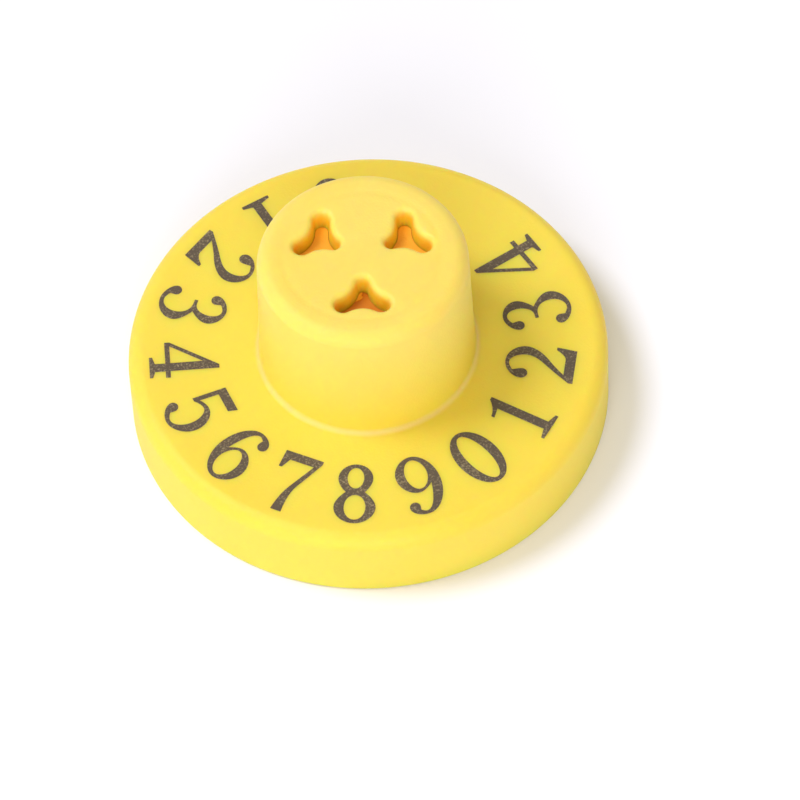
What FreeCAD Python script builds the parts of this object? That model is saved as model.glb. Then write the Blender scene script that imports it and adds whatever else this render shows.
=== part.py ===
import FreeCAD, Part
import math
import os

# Button half of a two-piece electronic livestock ear tag, in millimetres.
# The flat back lies on z = 0, and the locking boss rises along +Z on the axis.
# The stud of the other half enters through the back and locks inside the boss.

# Overall form
disc_radius = 15.0
disc_height = 5.1
disc_top_round = 1.0
disc_foot_break = 0.2
boss_height = 14.45
boss_foot_radius = 6.75
boss_top_radius = 6.5
boss_top_round = 0.9
boss_foot_round = 0.4

# Stud entry in the back
bore_radius = 3.1
bore_lead_in = 0.5

# Lock insert, a hard cup that the boss is moulded around
insert_radius = 4.9
insert_bottom = 2.6
insert_top = 13.0
insert_wall = 1.0
insert_corner_break = 0.4
flange_radius = 5.7
flange_height = 1.0
lip_height = 1.2
lip_slot_count = 4
lip_slot_width = 0.8
lip_slot_depth = 1.2

# Three-lobed core holes down to the insert, one lobe towards the axis and two away
hole_count = 3
hole_circle_radius = 3.03
hole_first_angle = 27.2
hole_rim_break = 0.25
inner_lobe_reach = 0.95
outer_lobe_reach = 1.3
outer_lobe_angle = 63.0
inner_lobe_radius = 0.45
outer_lobe_radius = 0.56
lobe_blend_radius = 1.7

# Ring pocket for the transponder, closed by a welded cover
pocket_inner_radius = 8.0
pocket_outer_radius = 13.4
pocket_roof = 3.9
cover_height = 1.0
cover_step = 0.6

# Transponder
coil_inner_radius = 10.9
coil_outer_radius = 13.2
coil_height = 2.3
coil_corner_break = 0.4
lead_radius = 0.12
lead_spread = 2.2
lead_end_radius = 9.7
board_inner = 8.2
board_outer = 10.4
board_length = 5.6
board_height = 0.6
chip_size = (1.7, 2.2, 0.8)
capacitor_size = (0.8, 1.4, 0.6)
chip_offset = 0.7
capacitor_offset = -1.35
part_edge_round = 0.15

origin = FreeCAD.Vector(0, 0, 0)
up = FreeCAD.Vector(0, 0, 1)


def point(r, z):
    """A point of a turned profile, at radius r and height z."""
    return FreeCAD.Vector(r, 0, z)


def turned(points):
    """Revolve a closed profile of (radius, height) corners about Z."""
    corners = [point(r, z) for r, z in points]
    wire = Part.makePolygon(corners + corners[:1])
    return Part.Face(wire).revolve(origin, up, 360)


def circle_edges(shape, radius, height):
    """The round edges about Z that have this radius and height."""
    found = []
    for edge in shape.Edges:
        curve = edge.Curve
        if not isinstance(curve, Part.Circle):
            continue
        if abs(curve.Radius - radius) > 1e-4:
            continue
        if abs(curve.Center.z - height) > 1e-4 or math.hypot(curve.Center.x, curve.Center.y) > 1e-4:
            continue
        found.append(edge)
    return found


def insert_outside():
    """The outer form of the lock insert, which also shapes the space around it."""
    cup = turned([
        (0, insert_bottom),
        (flange_radius, insert_bottom),
        (flange_radius, insert_bottom + flange_height),
        (insert_radius, insert_bottom + flange_height),
        (insert_radius, insert_top),
        (0, insert_top),
    ])
    return cup.makeChamfer(insert_corner_break, circle_edges(cup, insert_radius, insert_top))


def hole_outline():
    """A closed three-lobed wire about the origin, with +X pointing away from the boss axis.

    Three lobe arcs are joined by hollow arcs that are tangent to the lobes on each side.
    """
    angle = math.radians(outer_lobe_angle)
    left = FreeCAD.Vector(math.cos(angle), math.sin(angle), 0) * outer_lobe_reach
    right = FreeCAD.Vector(left.x, -left.y, 0)
    inner = FreeCAD.Vector(-inner_lobe_reach, 0, 0)
    lobes = [(left, outer_lobe_radius), (inner, inner_lobe_radius), (right, outer_lobe_radius)]

    blends = []
    for index, (centre, radius) in enumerate(lobes):
        following, following_radius = lobes[(index + 1) % len(lobes)]
        blends.append(blend_between(centre, radius, following, following_radius))

    edges = []
    for index, (centre, radius) in enumerate(lobes):
        before = blends[index - 1]
        after = blends[index]
        edges.append(Part.Arc(before[2], far_point(centre, radius), after[0]).toShape())
        edges.append(Part.Arc(after[0], after[1], after[2]).toShape())
    return Part.Wire(edges)


def far_point(centre, radius):
    """The point of a lobe that lies farthest from the hole's centre."""
    return centre * (1 + radius / centre.Length)


def blend_between(first, first_radius, second, second_radius):
    """Start, middle and end of the hollow arc that touches two lobes from outside."""
    gap = second - first
    span = gap.Length
    along = gap * (1 / span)
    across = FreeCAD.Vector(along.y, -along.x, 0)
    if (first + second).dot(across) < 0:
        across = across * -1
    near = first_radius + lobe_blend_radius
    far = second_radius + lobe_blend_radius
    shift = (near * near - far * far + span * span) / (2 * span)
    rise = math.sqrt(near * near - shift * shift)
    centre = first + along * shift + across * rise
    start = first + (centre - first) * (first_radius / near)
    end = second + (centre - second) * (second_radius / far)
    middle = centre - across * lobe_blend_radius
    return start, middle, end


def core_hole():
    """One core hole as a solid, from the insert's top face to above the boss."""
    face = Part.Face(hole_outline())
    hole = face.extrude(up * (boss_height - insert_top + 1))
    hole.translate(FreeCAD.Vector(hole_circle_radius, 0, insert_top))
    return hole


def tag_body():
    """The soft moulding: disc, boss, stud entry, ring pocket and core holes."""
    body = turned([
        (bore_radius + bore_lead_in, 0),
        (bore_radius, bore_lead_in),
        (bore_radius, insert_bottom),
        (0, insert_bottom),
        (0, boss_height),
        (boss_top_radius, boss_height),
        (boss_foot_radius, disc_height),
        (disc_radius, disc_height),
        (disc_radius, 0),
        (pocket_outer_radius + cover_step, 0),
        (pocket_outer_radius + cover_step, cover_height),
        (pocket_outer_radius, cover_height),
        (pocket_outer_radius, pocket_roof),
        (pocket_inner_radius, pocket_roof),
        (pocket_inner_radius, cover_height),
        (pocket_inner_radius - cover_step, cover_height),
        (pocket_inner_radius - cover_step, 0),
    ])
    body = body.makeFillet(boss_top_round, circle_edges(body, boss_top_radius, boss_height))
    body = body.makeFillet(boss_foot_round, circle_edges(body, boss_foot_radius, disc_height))
    body = body.makeFillet(disc_top_round, circle_edges(body, disc_radius, disc_height))
    body = body.makeChamfer(disc_foot_break, circle_edges(body, disc_radius, 0))
    body = body.cut(insert_outside())

    for number in range(hole_count):
        hole = core_hole()
        hole.rotate(origin, up, hole_first_angle + number * 360 / hole_count)
        body = body.cut(hole)
    return body.makeChamfer(hole_rim_break, rim_edges(body))


def rim_edges(body):
    """The edges of the core holes that lie in the boss's top face."""
    found = []
    for edge in body.Edges:
        box = edge.BoundBox
        flat = abs(box.ZMin - boss_height) < 1e-4 and abs(box.ZMax - boss_height) < 1e-4
        if flat and edge.Length < math.pi * boss_top_radius:
            found.append(edge)
    return found


def lock_insert():
    """A flanged cup, closed at the top, with a slotted lip that catches the stud's head."""
    chamber_radius = insert_radius - insert_wall
    chamber_bottom = insert_bottom + lip_height
    chamber_top = insert_top - insert_wall
    chamber = turned([
        (0, chamber_bottom),
        (chamber_radius, chamber_bottom),
        (chamber_radius, chamber_top),
        (0, chamber_top),
    ])
    chamber = chamber.makeChamfer(insert_corner_break, circle_edges(chamber, chamber_radius, chamber_top))
    mouth = Part.makeCylinder(bore_radius, lip_height, FreeCAD.Vector(0, 0, insert_bottom))
    insert = insert_outside().cut(chamber).cut(mouth)

    slot_length = bore_radius + lip_slot_depth
    for number in range(lip_slot_count):
        slot = Part.makeBox(slot_length, lip_slot_width, lip_height)
        slot.translate(FreeCAD.Vector(0, -lip_slot_width / 2, insert_bottom))
        slot.rotate(origin, up, 45 + number * 360 / lip_slot_count)
        insert = insert.cut(slot)
    return insert


def back_cover():
    """The flat ring that closes the pocket and lies flush with the back."""
    return turned([
        (pocket_inner_radius - cover_step, 0),
        (pocket_outer_radius + cover_step, 0),
        (pocket_outer_radius + cover_step, cover_height),
        (pocket_inner_radius - cover_step, cover_height),
    ])


def antenna_coil():
    """The bonded winding with the two ends of its wire, which reach over the board."""
    top = cover_height + coil_height
    ring = turned([
        (coil_inner_radius, cover_height),
        (coil_outer_radius, cover_height),
        (coil_outer_radius, top),
        (coil_inner_radius, top),
    ])
    corners = []
    for radius in (coil_inner_radius, coil_outer_radius):
        for height in (cover_height, top):
            corners += circle_edges(ring, radius, height)
    ring = ring.makeChamfer(coil_corner_break, corners)

    wire_height = cover_height + board_height + lead_radius
    for side in (-1, 1):
        start = FreeCAD.Vector(side * lead_spread, lead_end_radius, wire_height)
        length = coil_outer_radius - 1 - lead_end_radius
        lead = Part.makeCylinder(lead_radius, length, start, FreeCAD.Vector(0, 1, 0))
        ring = ring.fuse(lead)
    return ring


def block(size, offset, base):
    """A small rounded block on the board, at an offset along it and centred across it."""
    depth, length, height = size
    middle = (board_inner + board_outer) / 2
    corner = FreeCAD.Vector(offset - length / 2, middle - depth / 2, base)
    solid = Part.makeBox(length, depth, height, corner)
    upright = [edge for edge in solid.Edges if abs(edge.BoundBox.ZLength - height) < 1e-4]
    return solid.makeFillet(part_edge_round, upright)


def circuit_board():
    """The strip that carries the chip and the capacitor, inside the coil."""
    size = (board_outer - board_inner, board_length, board_height)
    return block(size, 0, cover_height)


def transponder_chip():
    """The moulded chip package."""
    return block(chip_size, chip_offset, cover_height + board_height)


def tuning_capacitor():
    """The capacitor that tunes the coil."""
    return block(capacitor_size, capacitor_offset, cover_height + board_height)


nodes = {
    "tag_body": tag_body,
    "lock_insert": lock_insert,
    "back_cover": back_cover,
    "antenna_coil": antenna_coil,
    "circuit_board": circuit_board,
    "transponder_chip": transponder_chip,
    "tuning_capacitor": tuning_capacitor,
}

os.makedirs("parts", exist_ok=True)
for name, make in nodes.items():
    shape = make()
    if len(shape.Solids) != 1 or not shape.isValid():
        raise RuntimeError(name + " is not one valid solid")
    shape.Solids[0].exportStep("parts/" + name + ".step")
    print(name, "volume", round(shape.Volume, 2), "mm3")
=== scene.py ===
import math

import bmesh
import bpy
from mathutils import Matrix, Vector


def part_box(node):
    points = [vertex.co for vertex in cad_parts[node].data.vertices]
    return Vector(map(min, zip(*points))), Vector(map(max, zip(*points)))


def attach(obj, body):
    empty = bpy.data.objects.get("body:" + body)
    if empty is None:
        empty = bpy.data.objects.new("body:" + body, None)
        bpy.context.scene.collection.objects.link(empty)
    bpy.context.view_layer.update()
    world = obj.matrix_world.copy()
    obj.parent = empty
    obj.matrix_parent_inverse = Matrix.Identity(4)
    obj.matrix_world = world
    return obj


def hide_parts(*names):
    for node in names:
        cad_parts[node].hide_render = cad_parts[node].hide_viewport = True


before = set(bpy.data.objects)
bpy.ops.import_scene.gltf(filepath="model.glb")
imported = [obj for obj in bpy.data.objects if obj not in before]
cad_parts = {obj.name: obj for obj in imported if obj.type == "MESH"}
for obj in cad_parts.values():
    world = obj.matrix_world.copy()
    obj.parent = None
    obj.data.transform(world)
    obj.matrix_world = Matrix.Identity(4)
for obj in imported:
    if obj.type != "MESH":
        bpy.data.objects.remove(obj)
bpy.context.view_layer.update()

# Button half of an electronic livestock ear tag: a soft yellow moulding over a hard lock insert,
# with a marked number round its face. Sizes in the dictionaries are in millimetres and degrees.

mm = 0.001
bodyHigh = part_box("tag_body")[1]
insertLow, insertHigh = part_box("lock_insert")
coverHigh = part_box("back_cover")[1]
boardLow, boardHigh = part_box("circuit_board")
capacitorLow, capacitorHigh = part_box("tuning_capacitor")

# how near a vertex has to be to count as being in a place
ringReach = 0.02 * mm
levelReach = 0.01 * mm
mergeReach = 0.001 * mm


def deselectAll():
    if bpy.context.mode != "OBJECT":
        bpy.ops.object.mode_set(mode="OBJECT")
    bpy.ops.object.select_all(action="DESELECT")


def workOn(piece):
    deselectAll()
    piece.select_set(True)
    bpy.context.view_layer.objects.active = piece


def openEdit(piece):
    workOn(piece)
    bpy.ops.object.mode_set(mode="EDIT")
    bpy.ops.mesh.select_mode(type="VERT")
    bpy.ops.mesh.select_all(action="DESELECT")


def closeEdit():
    bpy.ops.object.mode_set(mode="OBJECT")


def pickFaces(piece, test):
    # selects the faces whose centre passes the test
    bpy.ops.mesh.select_all(action="DESELECT")
    bpy.ops.mesh.select_mode(type="FACE")
    mesh = bmesh.from_edit_mesh(piece.data)
    for face in mesh.faces:
        face.select_set(test(face))
    bmesh.update_edit_mesh(piece.data)


def pickRing(piece, radius, height):
    # selects the ring of edges that runs at this radius and height
    bpy.ops.mesh.select_all(action="DESELECT")
    bpy.ops.mesh.select_mode(type="EDGE")
    mesh = bmesh.from_edit_mesh(piece.data)
    for edge in mesh.edges:
        misses = [abs(v.co.xy.length - radius) + abs(v.co.z - height) for v in edge.verts]
        edge.select_set(max(misses) < ringReach)
    bmesh.update_edit_mesh(piece.data)


def extrude(up):
    bpy.ops.mesh.extrude_region_move(TRANSFORM_OT_translate={"value": (0, 0, up)})


def spread(factor):
    bpy.ops.transform.resize(value=(factor, factor, 1))


def applyModifiers(piece):
    workOn(piece)
    for modifier in list(piece.modifiers):
        bpy.ops.object.modifier_apply(modifier=modifier.name)


def tidyMesh(piece):
    # merges doubles and points the faces outwards
    openEdit(piece)
    bpy.ops.mesh.select_all(action="SELECT")
    bpy.ops.mesh.remove_doubles(threshold=mergeReach)
    bpy.ops.mesh.normals_make_consistent(inside=False)
    closeEdit()


def smoothShade(piece, degrees):
    workOn(piece)
    bpy.ops.object.shade_smooth_by_angle(angle=math.radians(degrees))
    weighted = piece.modifiers.new("weighted", "WEIGHTED_NORMAL")
    weighted.keep_sharp = True
    applyModifiers(piece)


def newRound(vertices, radius, fillType):
    deselectAll()
    bpy.ops.mesh.primitive_circle_add(
        vertices=vertices, radius=radius, fill_type=fillType, location=(0, 0, 0))
    return bpy.context.object


def dress(piece, material):
    piece.data.materials.clear()
    piece.data.materials.append(material)
    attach(piece, "root")


# Core holes: three lobes each, joined by hollow arcs that touch the lobes.
coreHole = {
    "count": 3,
    "circleRadius": 3.03,
    "firstAngle": 27.2,
    "innerReach": 0.95,
    "outerReach": 1.3,
    "outerAngle": 63.0,
    "innerRadius": 0.45,
    "outerRadius": 0.56,
    "blendRadius": 1.7,
    "lobeSteps": 14,
    "blendSteps": 10,
}


def lobeOutline(grow=0.0):
    # the outline of one core hole about its own centre, grown outwards by a margin
    turn = math.radians(coreHole["outerAngle"])
    left = Vector((math.cos(turn), math.sin(turn))) * coreHole["outerReach"]
    right = Vector((left.x, -left.y))
    inner = Vector((-coreHole["innerReach"], 0))
    blend = coreHole["blendRadius"] - grow
    lobes = [
        (right, coreHole["outerRadius"] + grow),
        (left, coreHole["outerRadius"] + grow),
        (inner, coreHole["innerRadius"] + grow),
    ]

    centres = []
    for index, (here, radius) in enumerate(lobes):
        there, nextRadius = lobes[(index + 1) % 3]
        gap = there - here
        along = gap.normalized()
        across = Vector((along.y, -along.x))
        near = radius + blend
        far = nextRadius + blend
        shift = (near ** 2 - far ** 2 + gap.length_squared) / (2 * gap.length)
        centres.append(here + along * shift + across * math.sqrt(near ** 2 - shift ** 2))

    points = []
    for index, (here, radius) in enumerate(lobes):
        start = (centres[index - 1] - here).normalized()
        end = (centres[index] - here).normalized()
        points += arcPoints(here, start, end, radius, coreHole["lobeSteps"], 1)
        there = lobes[(index + 1) % 3][0]
        start = (here - centres[index]).normalized()
        end = (there - centres[index]).normalized()
        points += arcPoints(centres[index], start, end, blend, coreHole["blendSteps"], -1)
    return points


def arcPoints(centre, start, end, radius, steps, way):
    # points round an arc, without its last one; way is 1 anticlockwise and -1 clockwise
    first = math.atan2(start.y, start.x)
    swing = (way * (math.atan2(end.y, end.x) - first)) % math.tau
    found = []
    for step in range(steps):
        angle = first + way * swing * step / steps
        found.append(centre + Vector((math.cos(angle), math.sin(angle))) * radius)
    return found


def holeTurns():
    count = coreHole["count"]
    return [math.radians(coreHole["firstAngle"] + number * 360 / count) for number in range(count)]


def placeAtHole(piece, turn):
    # moves a piece made about a hole's centre out to the hole, and turns it outwards
    out = Matrix.Rotation(turn, 4, "Z") @ Matrix.Translation((coreHole["circleRadius"] * mm, 0, 0))
    piece.data.transform(out)


moulding = {
    "ringSteps": 180,
    "discHeight": 5.1,
    "discRound": 1.0,
    "footBreak": 0.2,
    "bossFoot": 6.75,
    "bossTop": 6.5,
    "bossRound": 0.9,
    "bossFootRound": 0.4,
    "roundSteps": 9,
    "bossFootSteps": 5,
    "footBreakSteps": 3,
    "smoothAngle": 30,
    "boreRadius": 3.1,
    "leadIn": 0.5,
    "flangeRadius": 5.7,
    "flangeHeight": 1.0,
    "insertRadius": 4.9,
    "insertBreak": 0.4,
    "pocketInner": 8.0,
    "pocketOuter": 13.4,
    "pocketRoof": 3.9,
    "coverStep": 0.6,
    "rimRound": 0.36,
    "rimSteps": 6,
    "holeTaper": 0.14,
}


def inset(fromRadius, toRadius):
    # a ring of faces inside the picked round face
    bpy.ops.mesh.inset(thickness=0, depth=0)
    spread(toRadius / fromRadius)


def liesFlat(face, height, inner, outer):
    # whether a level face lies at this height, between two radii in millimetres
    middle = face.calc_center_median()
    atHeight = abs(middle.z - height) < levelReach
    return atHeight and inner < middle.xy.length / mm < outer and abs(face.normal.z) > 0.5


def makeMoulding():
    spec = moulding
    discRadius = bodyHigh.x / mm
    topHeight = bodyHigh.z
    piece = newRound(spec["ringSteps"], bodyHigh.x, "NGON")
    piece.name = "soft_moulding"

    # disc and boss rise from the round base
    openEdit(piece)
    bpy.ops.mesh.select_all(action="SELECT")
    extrude(spec["discHeight"] * mm)
    inset(discRadius, spec["bossFoot"])
    extrude(topHeight - spec["discHeight"] * mm)
    spread(spec["bossTop"] / spec["bossFoot"])

    # back: the cover's step and the ring pocket
    pickFaces(piece, lambda face: len(face.verts) > 4 and face.calc_center_median().z < levelReach)
    stepOuter = spec["pocketOuter"] + spec["coverStep"]
    stepInner = spec["pocketInner"] - spec["coverStep"]
    inset(discRadius, stepOuter)
    inset(stepOuter, spec["pocketOuter"])
    inset(spec["pocketOuter"], spec["pocketInner"])
    inset(spec["pocketInner"], stepInner)
    inset(stepInner, spec["boreRadius"] + spec["leadIn"])

    # stud entry, then the space round the insert
    extrude(spec["leadIn"] * mm)
    spread(spec["boreRadius"] / (spec["boreRadius"] + spec["leadIn"]))
    extrude(insertLow.z - spec["leadIn"] * mm)
    inset(spec["boreRadius"], spec["flangeRadius"])
    extrude(spec["flangeHeight"] * mm)
    inset(spec["flangeRadius"], spec["insertRadius"])
    extrude(insertHigh.z - insertLow.z - (spec["flangeHeight"] + spec["insertBreak"]) * mm)
    extrude(spec["insertBreak"] * mm)
    spread((spec["insertRadius"] - spec["insertBreak"]) / spec["insertRadius"])

    # the step for the cover and the pocket are pushed in from the back
    pickFaces(piece, lambda face: liesFlat(face, 0, stepInner, stepOuter))
    extrude(coverHigh.z)
    pickFaces(piece, lambda face: liesFlat(face, coverHigh.z, spec["pocketInner"], spec["pocketOuter"]))
    extrude(spec["pocketRoof"] * mm - coverHigh.z)

    # rounds
    for radius, height, size, steps in (
            (spec["bossTop"], topHeight / mm, spec["bossRound"], spec["roundSteps"]),
            (spec["bossFoot"], spec["discHeight"], spec["bossFootRound"], spec["bossFootSteps"]),
            (discRadius, spec["discHeight"], spec["discRound"], spec["roundSteps"]),
            (discRadius, 0, spec["footBreak"], spec["footBreakSteps"])):
        pickRing(piece, radius * mm, height * mm)
        bpy.ops.mesh.bevel(
            offset=size * mm, offset_type="OFFSET", segments=steps, profile=0.5, affect="EDGES")
    closeEdit()
    tidyMesh(piece)

    # core holes: open walls join the boss top and the ceiling over the insert
    openEdit(piece)
    pickFaces(piece, lambda face: len(face.verts) > 4)
    bpy.ops.mesh.delete(type="ONLY_FACE")
    closeEdit()
    walls = []
    for turn in holeTurns():
        wall = makeHoleWall()
        placeAtHole(wall, turn)
        walls.append(wall)
    workOn(piece)
    for wall in walls:
        wall.select_set(True)
    bpy.ops.object.join()
    openEdit(piece)
    for height in (topHeight, insertHigh.z):
        pickOpenEdges(piece, height)
        bpy.ops.mesh.fill(use_beauty=True)
    closeEdit()
    tidyMesh(piece)
    return piece


def pickOpenEdges(piece, height):
    # selects the edges at this height that have a face on one side only
    bpy.ops.mesh.select_all(action="DESELECT")
    bpy.ops.mesh.select_mode(type="EDGE")
    mesh = bmesh.from_edit_mesh(piece.data)
    for edge in mesh.edges:
        level = all(abs(v.co.z - height) < mergeReach for v in edge.verts)
        edge.select_set(level and len(edge.link_faces) < 2)
    bmesh.update_edit_mesh(piece.data)


def makeHoleWall():
    # a round primitive takes the lobed outline, then rises and flares into a rounded rim
    ringCount = len(lobeOutline())
    wall = newRound(ringCount, mm, "NOTHING")
    rimRound = moulding["rimRound"]
    steps = moulding["rimSteps"]
    rings = [(insertHigh.z, -moulding["holeTaper"])]
    for step in range(steps + 1):
        turn = math.pi / 2 * step / steps
        height = bodyHigh.z - (1 - math.sin(turn)) * rimRound * mm
        rings.append((height, (1 - math.cos(turn)) * rimRound))
    placeOutline(wall.data.vertices, *rings[0])
    for height, grow in rings[1:]:
        count = len(wall.data.vertices)
        openEdit(wall)
        pickLast(wall, count - ringCount)
        extrude(mm)
        closeEdit()
        placeOutline(wall.data.vertices[count:], height, grow)
    return wall


def pickLast(piece, first):
    # selects the vertices from this number on, which are the ring made last
    mesh = bmesh.from_edit_mesh(piece.data)
    for vertex in mesh.verts:
        vertex.select_set(vertex.index >= first)
    mesh.select_flush(True)
    bmesh.update_edit_mesh(piece.data)


def placeOutline(vertices, height, grow):
    # lays a ring of vertices, in their own order, along the hole's outline
    for vertex, point in zip(vertices, lobeOutline(grow)):
        vertex.co = (point.x * mm, point.y * mm, height)


softMoulding = makeMoulding()
smoothShade(softMoulding, moulding["smoothAngle"])
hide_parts("tag_body")
print("moulding made:", len(softMoulding.data.polygons), "faces")


class Wire:
    # a shader socket that takes part in sums
    def __init__(self, tree, socket=None):
        self.tree = tree
        self.socket = socket

    def node(self, kind, settings=None, sockets=None, output=0):
        made = self.tree.nodes.new("ShaderNode" + kind)
        for name, value in (settings or {}).items():
            setattr(made, name, value)
        for name, value in (sockets or {}).items():
            if isinstance(value, Wire):
                self.tree.links.new(value.socket, made.inputs[name])
            else:
                made.inputs[name].default_value = value
        return Wire(self.tree, made.outputs[output])

    def sum(self, kind, first, second=0.0):
        return self.node("Math", {"operation": kind}, {0: first, 1: second})

    def __add__(self, other):
        return self.sum("ADD", self, other)

    def __sub__(self, other):
        return self.sum("SUBTRACT", self, other)

    def __mul__(self, other):
        return self.sum("MULTIPLY", self, other)

    def __truediv__(self, other):
        return self.sum("DIVIDE", self, other)

    def __radd__(self, other):
        return self.sum("ADD", other, self)

    def __rsub__(self, other):
        return self.sum("SUBTRACT", other, self)

    def __rmul__(self, other):
        return self.sum("MULTIPLY", other, self)

    def root(self):
        return self.sum("SQRT", self)

    def above(self, limit):
        return self.sum("GREATER_THAN", self, limit)

    def sine(self):
        return self.sum("SINE", self)

    def clamped(self):
        return self.node("Clamp", None, {"Value": self})

    def part(self, name):
        return Wire(self.tree, self.socket.node.outputs[name])


def bareTree(owner):
    # empties the shader nodes of a material or a world, and gives their maker
    owner.use_nodes = True
    owner.node_tree.nodes.clear()
    return Wire(owner.node_tree)


def toOutput(shader, kind):
    output = shader.tree.nodes.new("ShaderNodeOutput" + kind)
    shader.tree.links.new(shader.socket, output.inputs["Surface"])


def newFinish(name):
    # a bare material, its maker of nodes, its surface shader and its object coordinates
    material = bpy.data.materials.new(name)
    maker = bareTree(material)
    shader = maker.node("BsdfPrincipled")
    toOutput(shader, "Material")
    place = maker.node("TexCoord", output="Object")
    return material, maker, shader.socket.node, place


def feed(surface, **values):
    for name, value in values.items():
        socket = surface.inputs[name.replace("_", " ")]
        if isinstance(value, Wire):
            surface.id_data.links.new(value.socket, socket)
        else:
            socket.default_value = value


def noise(maker, place, size, detail=3.0, roughness=0.5):
    # noise whose features are about this many millimetres across
    return maker.node("TexNoise", {"noise_dimensions": "3D"}, {
        "Vector": place, "Scale": 1 / (size * mm), "Detail": detail, "Roughness": roughness})


def mixColour(maker, factor, first, second):
    made = maker.node("Mix", {"data_type": "RGBA"}, {0: factor}, output=2)
    node = made.socket.node
    for slot, value in ((6, first), (7, second)):
        if isinstance(value, Wire):
            maker.tree.links.new(value.socket, node.inputs[slot])
        else:
            node.inputs[slot].default_value = (*value, 1)
    return made


def bump(maker, height):
    # a surface normal from a relief in millimetres
    return maker.node("Bump", None, {"Strength": 1.0, "Distance": mm, "Height": height})


def axes(maker, place):
    split = maker.node("SeparateXYZ", None, {"Vector": place})
    return split.part("X"), split.part("Y"), split.part("Z")


def bell(maker, distance, width):
    # one where the distance is nought, fading to nothing past the width
    ratio = distance / width
    return maker.sum("EXPONENT", ratio * ratio * -1.0)


def ripple(maker, distance, pitch):
    # a wave from -1 to 1 along a distance
    return (distance * (math.tau / pitch)).sine()


softYellow = {
    "disc": (0.875, 0.685, 0.085),
    "discDeep": (0.865, 0.655, 0.07),
    "boss": (0.89, 0.70, 0.15),
    "bossDeep": (0.89, 0.675, 0.115),
    "cloudSize": 7.0,
    "cloudLevel": 0.42,
    "cloudContrast": 2.2,
    "creamFrom": 1.0,
    "creamOver": 7.0,
    # painted highlight: the pale line where the fillet round the boss's foot catches the light
    "paintedHighlight": (0.90, 0.69, 0.19),
    "highlightRadius": 6.87,
    "highlightWidth": 0.12,
    "highlightHeight": 0.35,
    "core": (0.93, 0.56, 0.03),
    "coreMargin": 0.2,
    "coreFloor": 0.1,
    "coreDepth": 0.12,
    "coreFade": 0.55,
    "grain": 0.16,
    "grainRelief": 0.012,
    "wave": 3.5,
    "waveRelief": 0.05,
    "sinkRadius": 4.85,
    "sinkWidth": 0.28,
    "sinkRelief": 0.03,
    "roughness": 0.5,
    "roughnessGrain": 0.12,
    "specular": 0.3,
    "refraction": 1.46,
    "scatter": 0.8,
    "scatterRadius": (1.0, 0.4, 0.06),
    "scatterDepth": 1.6,
}


def softFinish():
    spec = softYellow
    material, maker, surface, place = newFinish("softYellowMoulding")
    x, y, z = axes(maker, place)
    radius = (x * x + y * y).root() / mm
    height = z / mm
    top = bodyHigh.z / mm

    # cloudy colour, creamier up the boss, with a painted highlight line round its foot, where the fillet
    # catches the light
    cloud = noise(maker, place, spec["cloudSize"], 2.0) - spec["cloudLevel"]
    cloud = (cloud * spec["cloudContrast"]).clamped()
    discColour = mixColour(maker, cloud, spec["disc"], spec["discDeep"])
    bossColour = mixColour(maker, cloud, spec["boss"], spec["bossDeep"])
    rise = ((height - moulding["discHeight"] - spec["creamFrom"]) / spec["creamOver"]).clamped()
    colour = mixColour(maker, rise, discColour, bossColour)
    # painted highlight: a pale line at the foot fillet's radius, below this height, so it also falls on the
    # back face
    low = 1.0 - height.above(moulding["discHeight"] + spec["highlightHeight"])
    paintedHighlight = bell(maker, radius - spec["highlightRadius"], spec["highlightWidth"]) * low
    colour = mixColour(maker, paintedHighlight, colour, spec["paintedHighlight"])

    # light that bounces inside the core holes deepens their colour
    inside = 1.0 - radius.above(moulding["insertRadius"] + spec["coreMargin"])
    inside = inside * height.above(insertHigh.z / mm - spec["coreFloor"])
    depth = ((top - spec["coreDepth"] - height) / spec["coreFade"]).clamped() * inside
    colour = mixColour(maker, depth, colour, spec["core"])

    # fine spark grain, soft waviness, and the faint sink ring over the insert's edge
    grain = noise(maker, place, spec["grain"], 2.0)
    wave = noise(maker, place, spec["wave"], 1.0)
    onTop = height.above(top - 0.02)
    sink = bell(maker, radius - spec["sinkRadius"], spec["sinkWidth"]) * onTop
    relief = grain * spec["grainRelief"] + wave * spec["waveRelief"] - sink * spec["sinkRelief"]
    roughness = spec["roughness"] + (grain - 0.5) * spec["roughnessGrain"]
    feed(surface, Base_Color=colour, Roughness=roughness, Normal=bump(maker, relief))
    feed(surface, Specular_IOR_Level=spec["specular"], IOR=spec["refraction"])
    feed(surface, Subsurface_Weight=spec["scatter"], Subsurface_Radius=spec["scatterRadius"])
    feed(surface, Subsurface_Scale=spec["scatterDepth"] * mm)
    return material


amberInsert = {
    "deep": (0.64, 0.21, 0.004),
    "light": (0.70, 0.25, 0.006),
    "cloudSize": 1.4,
    "turningPitch": 0.1047,
    "turningRelief": 0.002,
    "grain": 0.2,
    "grainRelief": 0.008,
    "roughness": 0.32,
    "scatter": 0.3,
    "scatterRadius": (1.0, 0.35, 0.05),
    "scatterDepth": 0.6,
}


def hardFinish():
    spec = amberInsert
    material, maker, surface, place = newFinish("amberInsert")
    x, y, z = axes(maker, place)
    radius = (x * x + y * y).root() / mm
    cloud = noise(maker, place, spec["cloudSize"], 3.0)
    turning = ripple(maker, radius, spec["turningPitch"]) * 0.5 + 0.5
    grain = noise(maker, place, spec["grain"], 2.0)
    relief = grain * spec["grainRelief"] + turning * spec["turningRelief"]
    feed(surface, Base_Color=mixColour(maker, cloud, spec["deep"], spec["light"]))
    feed(surface, Roughness=spec["roughness"] + cloud * 0.15, Normal=bump(maker, relief))
    feed(surface, Subsurface_Weight=spec["scatter"], Subsurface_Radius=spec["scatterRadius"])
    feed(surface, Subsurface_Scale=spec["scatterDepth"] * mm)
    return material


winding = {
    "shade": (0.36, 0.11, 0.035),
    "light": (0.83, 0.38, 0.17),
    "wire": 0.12,
    "relief": 0.03,
    "roughness": 0.42,
}


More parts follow.
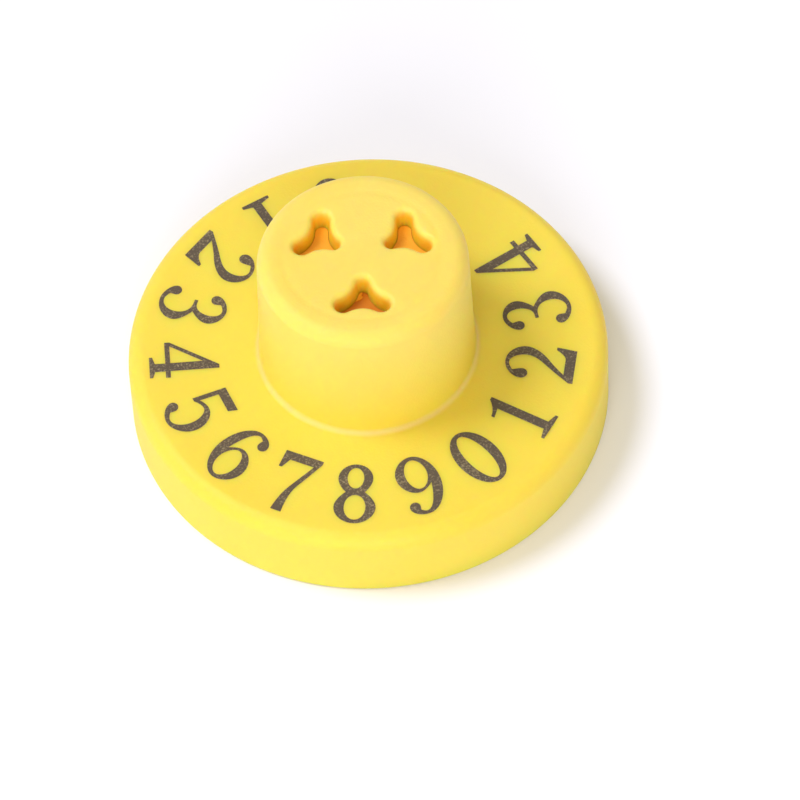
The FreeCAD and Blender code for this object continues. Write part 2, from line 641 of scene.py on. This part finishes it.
def windingFinish():
    spec = winding
    material, maker, surface, place = newFinish("windingCopper")
    x, y, z = axes(maker, place)
    radius = (x * x + y * y).root() / mm
    turns = ripple(maker, radius, spec["wire"]) + ripple(maker, z, spec["wire"] * mm)
    shade = (turns * 0.25 + 0.5).clamped()
    feed(surface, Base_Color=mixColour(maker, shade, spec["shade"], spec["light"]), Metallic=1.0)
    feed(surface, Roughness=spec["roughness"] - shade * 0.12, Normal=bump(maker, shade * spec["relief"]))
    return material


boardLook = {
    "green": (0.02, 0.10, 0.045),
    "greenLight": (0.035, 0.15, 0.07),
    "pad": (0.80, 0.60, 0.28),
    "weave": 0.5,
    "padFrom": 1.95,
    "padTo": 2.5,
    "roughness": 0.45,
}


def boardFinish():
    spec = boardLook
    material, maker, surface, place = newFinish("boardLaminate")
    x, y, z = axes(maker, place)
    weave = ripple(maker, x, spec["weave"] * mm) * ripple(maker, y, spec["weave"] * mm)
    green = mixColour(maker, (weave * 0.25 + 0.5).clamped(), spec["green"], spec["greenLight"])
    onTop = z.above(boardHigh.z - levelReach)
    middle = (boardLow.x + boardHigh.x) / 2
    fromMiddle = maker.sum("ABSOLUTE", (x - middle) / mm)
    pads = fromMiddle.above(spec["padFrom"]) * (1 - fromMiddle.above(spec["padTo"])) * onTop
    feed(surface, Base_Color=mixColour(maker, pads, green, spec["pad"]))
    feed(surface, Metallic=pads, Roughness=spec["roughness"] - pads * 0.15)
    return material


chipLook = {
    "dark": (0.012, 0.012, 0.014),
    "light": (0.03, 0.03, 0.032),
    "grain": 0.08,
    "grainRelief": 0.01,
    "roughness": 0.5,
}


def chipFinish():
    spec = chipLook
    material, maker, surface, place = newFinish("chipPackage")
    speck = noise(maker, place, spec["grain"], 2.0)
    feed(surface, Base_Color=mixColour(maker, speck, spec["dark"], spec["light"]))
    feed(surface, Roughness=spec["roughness"] + speck * 0.2)
    feed(surface, Normal=bump(maker, speck * spec["grainRelief"]))
    return material


capacitorLook = {
    "ceramic": (0.33, 0.22, 0.12),
    "ceramicLight": (0.42, 0.29, 0.17),
    "end": (0.72, 0.72, 0.70),
    "endFrom": 0.58,
    "cloudSize": 0.3,
    "roughness": 0.55,
}


def capacitorFinish():
    spec = capacitorLook
    material, maker, surface, place = newFinish("capacitorCeramic")
    x, y, z = axes(maker, place)
    middle = (capacitorLow.x + capacitorHigh.x) / 2
    halfLength = (capacitorHigh.x - capacitorLow.x) / 2
    ends = maker.sum("ABSOLUTE", (x - middle) / halfLength).above(spec["endFrom"])
    cloud = noise(maker, place, spec["cloudSize"], 2.0)
    ceramic = mixColour(maker, cloud, spec["ceramic"], spec["ceramicLight"])
    feed(surface, Base_Color=mixColour(maker, ends, ceramic, spec["end"]))
    feed(surface, Metallic=ends, Roughness=spec["roughness"] - ends * 0.2)
    return material


def dressNode(node, material):
    # puts the material in each slot that a solid's mesh already has
    if not node.material_slots:
        node.data.materials.append(material)
    for materialSlot in node.material_slots:
        materialSlot.material = material


softMaterial = softFinish()
dress(softMoulding, softMaterial)
for nodeName, finish in (
        ("back_cover", softMaterial),
        ("lock_insert", hardFinish()),
        ("antenna_coil", windingFinish()),
        ("circuit_board", boardFinish()),
        ("transponder_chip", chipFinish()),
        ("tuning_capacitor", capacitorFinish())):
    dressNode(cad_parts[nodeName], finish)
print("finishes made")


# The marked number: a plain run of digits, drawn on a grid 60 wide and 100 high.
# A point is (x, y) at a corner, or (x, y, heading, reach in, reach out) where the line runs smoothly.
digitShapes = {
    "0": [
        [(60, 50, 90, 28, 28), (30, 100, 180, 17, 17), (0, 50, 270, 28, 28), (30, 0, 0, 17, 17)],
        [(46, 50, 90, 25, 25), (30, 93.5, 180, 8.5, 8.5), (14, 50, 270, 25, 25), (30, 6.5, 0, 8.5, 8.5)],
    ],
    "1": [
        [(10, 0), (52, 0), (52, 4.5), (38, 8.5), (38, 100), (33, 100), (9, 84.5, 188, 14, 0), (9, 79.5),
         (24.5, 83), (24.5, 8.5), (10, 4.5)],
    ],
    "2": [
        [(3, 75, 90, 4, 12), (30, 100, 0, 14, 15), (57, 72, 270, 15, 13), (35, 36, 220, 13, 9), (14, 14.5),
         (40, 14.5, 0, 8, 8), (55.5, 29), (60, 29), (56.5, 0), (1, 0), (1, 6), (27, 40, 50, 14, 12),
         (43, 71, 90, 12, 13), (28, 94.5, 180, 8, 5), (15.5, 88.5), (19, 74, 270, 5, 4.5),
         (11, 66, 180, 4.5, 4.5)],
    ],
    "3": [
        [(3.5, 80, 90, 4, 9), (28, 100, 0, 12, 13), (53, 77, 270, 12, 12), (38, 52.5),
         (58.5, 27, 270, 13, 15),
         (28, 0, 180, 16, 12), (1.5, 19, 90, 9, 4), (9, 26.5, 0, 4, 4), (16.5, 19, 270, 4, 2), (16, 11.5),
         (28, 6, 0, 5, 9), (44.5, 27, 90, 12, 13), (24, 49.5, 180, 13, 2), (18, 49.5), (18, 54.5),
         (24, 54.5, 0, 2, 10), (39.5, 77, 90, 11, 10), (28, 94, 180, 7, 5), (17, 88.5), (18.5, 80, 270, 2, 4),
         (11, 72.5, 180, 4, 4)],
    ],
    "4": [
        [(24, 0), (59, 0), (59, 4.5), (49, 8), (49, 23), (60, 23), (60, 30), (49, 30), (49, 100), (43, 100),
         (0, 30), (0, 23), (35.5, 23), (35.5, 8), (24, 4.5)],
        [(35.5, 30), (35.5, 77), (6.5, 30)],
    ],
    "5": [
        [(10.5, 100), (53, 100), (49, 86.5), (17, 86.5), (15, 58), (32, 64.5, 0, 9, 14),
         (58.5, 33, 270, 17, 17),
         (28, 0, 180, 15, 12), (1.5, 19, 90, 9, 4), (9, 26.5, 0, 4, 4), (16.5, 19, 270, 4, 2), (16, 11.5),
         (28, 6, 0, 5, 9), (44.5, 32, 90, 14, 14), (29, 58, 180, 8, 8), (13, 50), (7.5, 50)],
    ],
    "6": [
        [(34, 100, 180, 12, 18), (0.5, 47, 270, 28, 26), (31, 0, 0, 16, 15), (59.5, 31, 90, 16, 17),
         (34, 62, 180, 13, 9), (14.5, 50.5), (35, 94.5, 0, 15, 3), (42.5, 90.5), (41.5, 83.5, 270, 3, 4),
         (49, 76, 0, 4, 4), (56.5, 84, 90, 4, 9)],
        [(46, 31, 90, 14, 14), (31, 56.5, 180, 8, 8), (15, 31, 270, 13, 14), (31, 6, 0, 8, 8)],
    ],
    "7": [
        [(3, 100), (59, 100), (59, 95), (40, 48, 247, 30, 20), (36, 0), (20.5, 0), (30, 43, 66, 20, 24),
         (49.5, 86.5), (14, 86.5), (7.5, 71), (3, 71)],
    ],
    "8": [
        [(30, 100, 180, 13, 13), (6, 76, 270, 13, 12), (17, 53), (1, 27, 270, 14, 14), (30, 0, 0, 16, 16),
         (59, 27, 90, 14, 13), (43, 53), (54, 76, 90, 12, 13)],
        [(41.5, 77, 90, 9, 9), (30, 94, 180, 6.5, 6.5), (18.5, 77, 270, 9, 9), (30, 59, 0, 7, 7)],
        [(45, 27, 90, 11, 11), (30, 48, 180, 9, 9), (15, 27, 270, 11, 11), (30, 6, 0, 9, 9)],
    ],
}
digitGrid = (60, 100)


def turnedRound(point):
    # a point of a digit that is turned half way round
    across, up = digitGrid
    if len(point) == 2:
        return across - point[0], up - point[1]
    return across - point[0], up - point[1], point[2] + 180, *point[3:]


digitShapes["9"] = [[turnedRound(point) for point in loop] for loop in digitShapes["6"]]

numberRing = {
    "digits": "012345678901234",
    "firstAngle": 97.0,
    "pitch": 20.99,
    "footRadius": 13.35,
    "digitHeight": 4.36,
    "digitWidth": 2.68,
    "centre": (-0.32, -0.12),
    "markDepth": 0.02,
    "curveSteps": 10,
}


def makeDigit(digit, index):
    # a flat curve with holes becomes a thin slab, then moves to its place on the ring
    spec = numberRing
    curve = bpy.data.curves.new("digitCurve", "CURVE")
    curve.dimensions = "2D"
    curve.fill_mode = "BOTH"
    curve.resolution_u = spec["curveSteps"]
    curve.extrude = spec["markDepth"] * mm / 2
    for loop in digitShapes[digit]:
        spline = curve.splines.new("BEZIER")
        spline.bezier_points.add(len(loop) - 1)
        spline.use_cyclic_u = True
        for knot, point in zip(spline.bezier_points, loop):
            here = Vector((point[0], point[1], 0))
            turn = math.radians(point[2]) if len(point) > 2 else 0.0
            heading = Vector((math.cos(turn), math.sin(turn), 0))
            reachIn, reachOut = point[3:] if len(point) > 2 else (0, 0)
            knot.handle_left_type = "FREE"
            knot.handle_right_type = "FREE"
            knot.co = here
            knot.handle_left = here - heading * reachIn
            knot.handle_right = here + heading * reachOut
    piece = bpy.data.objects.new("digit", curve)
    bpy.context.scene.collection.objects.link(piece)
    workOn(piece)
    bpy.ops.object.convert(target="MESH")
    piece = bpy.context.object
    angle = math.radians(spec["firstAngle"] + index * spec["pitch"])
    centre = Vector((*spec["centre"], moulding["discHeight"])) * mm
    across, up = digitGrid
    size = Matrix.Diagonal((spec["digitWidth"] * mm / across, spec["digitHeight"] * mm / up, 1, 1))
    middle = Matrix.Translation((-across / 2, 0, 0))
    foot = centre + Vector((math.cos(angle), math.sin(angle), 0)) * spec["footRadius"] * mm
    upright = Matrix.Rotation(angle + math.pi / 2, 4, "Z")
    piece.data.transform(Matrix.Translation(foot) @ upright @ size @ middle)
    piece.name = "digit_" + str(index + 1).zfill(2)
    tidyMesh(piece)
    return piece


laserMark = {
    "dark": (0.095, 0.070, 0.045),
    "light": (0.33, 0.26, 0.14),
    "speck": 0.13,
    "speckLevel": 0.52,
    "speckContrast": 4.0,
    "patch": 1.6,
    "patchContrast": 1.2,
    "relief": 0.02,
    "roughness": 0.75,
}


def markFinish():
    spec = laserMark
    material, maker, surface, place = newFinish("laserMark")
    speck = noise(maker, place, spec["speck"], 2.0, 0.6)
    patch = noise(maker, place, spec["patch"], 1.0)
    lit = (speck - spec["speckLevel"]) * spec["speckContrast"] + (patch - 0.5) * spec["patchContrast"]
    feed(surface, Base_Color=mixColour(maker, lit.clamped(), spec["dark"], spec["light"]))
    feed(surface, Roughness=spec["roughness"], Normal=bump(maker, speck * spec["relief"]))
    return material


markMaterial = markFinish()
for index, digit in enumerate(numberRing["digits"]):
    mark = makeDigit(digit, index)
    dress(mark, markMaterial)
print("number made")


# Thin moulding skin that bled over the insert at the foot of the core holes.
skin = {
    "thickness": 0.06,
    "inset": 0.16,
    "tornFrom": -0.5,
    "tornEdge": (
        (-0.5, -0.52), (-0.6, -0.36), (-0.7, -0.13),
        (-0.86, -0.03), (-0.98, -0.12), (-1.12, -0.04)),
    "deep": (0.98, 0.50, 0.025),
    "light": (0.95, 0.43, 0.015),
    "cloudSize": 0.7,
    "wave": 0.3,
    "waveRelief": 0.03,
    "roughness": 0.4,
}


def makeSkin(turn, index):
    # the first two holes keep the whole skin, and the last only a torn strip along one side
    outline = lobeOutline(-skin["inset"])
    if index == coreHole["count"] - 1:
        strip = [point for point in outline if point.x < skin["tornFrom"] and point.y < 0]
        strip.sort(key=lambda point: point.x)
        outline = strip + [Vector(point) for point in skin["tornEdge"]]
    piece = newRound(len(outline), mm, "NGON")
    piece.name = "moulding_skin_" + str(index + 1)
    for vertex, point in zip(piece.data.vertices, outline):
        vertex.co = (point.x * mm, point.y * mm, insertHigh.z)
    openEdit(piece)
    bpy.ops.mesh.select_all(action="SELECT")
    extrude(skin["thickness"] * mm)
    closeEdit()
    placeAtHole(piece, turn)
    tidyMesh(piece)
    return piece


def skinFinish():
    # thin enough for the amber below to show through
    material, maker, surface, place = newFinish("thinSkin")
    cloud = noise(maker, place, skin["cloudSize"], 3.0)
    wave = noise(maker, place, skin["wave"], 2.0)
    feed(surface, Base_Color=mixColour(maker, cloud, skin["deep"], skin["light"]))
    feed(surface, Roughness=skin["roughness"] + cloud * 0.1, Normal=bump(maker, wave * skin["waveRelief"]))
    return material


skinMaterial = skinFinish()
for index, turn in enumerate(holeTurns()):
    dress(makeSkin(turn, index), skinMaterial)
print("skins made")


# Studio: pale table, white surround, soft lamps. A lamp is its name, place in metres, width in
# metres, power and tint.
studio = {
    "tableSize": 3.0,
    "tableDrop": 0.02,
    "tablePaper": (0.89, 0.895, 0.93),
    "tableLift": 0.04,
    "ambient": 0.57,
    "ambientTint": (1.0, 0.93, 0.80),
    "lamps": (
        ("keyLamp", (-0.59, 0.10, 1.04), 0.5, 7.3, (0.97, 1.0, 1.2)),
        ("frontLamp", (-0.15, -1.08, 0.50), 0.8, 7.0, (1.0, 1.0, 1.0)),
    ),
}


def makeTable():
    # the camera alone sees a little lift in the paper, so that it reads as white
    deselectAll()
    bpy.ops.mesh.primitive_plane_add(
        size=studio["tableSize"], location=(0, 0, -studio["tableDrop"] * mm))
    table = bpy.context.object
    table.name = "table"
    material = bpy.data.materials.new("tablePaper")
    maker = bareTree(material)
    paper = maker.node("BsdfDiffuse", None, {"Color": (*studio["tablePaper"], 1)})
    seen = maker.node("LightPath", output="Is Camera Ray")
    lift = maker.node("Emission", None, {"Color": (1, 1, 1, 1), "Strength": seen * studio["tableLift"]})
    toOutput(maker.node("AddShader", None, {0: paper, 1: lift}), "Material")
    table.data.materials.append(material)


def makeSurround():
    # the camera sees white, and the object is lit by the dimmer, warmer ambient
    world = bpy.data.worlds.new("softSurround")
    bpy.context.scene.world = world
    maker = bareTree(world)
    seen = maker.node("LightPath", output="Is Camera Ray")
    tint = (*studio["ambientTint"], 1)
    ambient = maker.node("Background", None, {"Color": tint, "Strength": studio["ambient"]})
    white = maker.node("Background", None, {"Color": (1, 1, 1, 1), "Strength": 1.0})
    toOutput(maker.node("MixShader", None, {0: seen, 1: ambient, 2: white}), "World")


def makeLamps():
    for name, place, size, power, tint in studio["lamps"]:
        lamp = bpy.data.lights.new(name, "AREA")
        lamp.shape = "DISK"
        lamp.size = size
        lamp.energy = power
        lamp.color = tint
        holder = bpy.data.objects.new(name, lamp)
        bpy.context.scene.collection.objects.link(holder)
        holder.location = place
        holder.rotation_euler = (-Vector(place)).to_track_quat("-Z", "Y").to_euler()


camera = {
    "distance": 400.0,
    "elevation": 54.69,
    "roll": 3.405,
    "pan": -0.262,
    "tilt": -0.095,
    "lens": 285.45,
    "sensor": 36,
}


def makeCamera():
    lens = bpy.data.cameras.new("camera")
    lens.lens = camera["lens"]
    lens.sensor_width = camera["sensor"]
    lens.clip_start = 10 * mm
    holder = bpy.data.objects.new("camera", lens)
    bpy.context.scene.collection.objects.link(holder)
    rise = math.radians(camera["elevation"])
    place = Vector((0, -math.cos(rise), math.sin(rise))) * camera["distance"] * mm
    aim = Matrix.Rotation(math.pi / 2 - rise, 4, "X")
    aim = aim @ Matrix.Rotation(math.radians(camera["pan"]), 4, "Y")
    aim = aim @ Matrix.Rotation(math.radians(camera["tilt"]), 4, "X")
    aim = aim @ Matrix.Rotation(-math.radians(camera["roll"]), 4, "Z")
    holder.matrix_world = Matrix.Translation(place) @ aim
    bpy.context.scene.camera = holder


makeTable()
makeSurround()
makeLamps()
makeCamera()
bpy.context.scene.view_settings.view_transform = "Standard"
print("studio made")
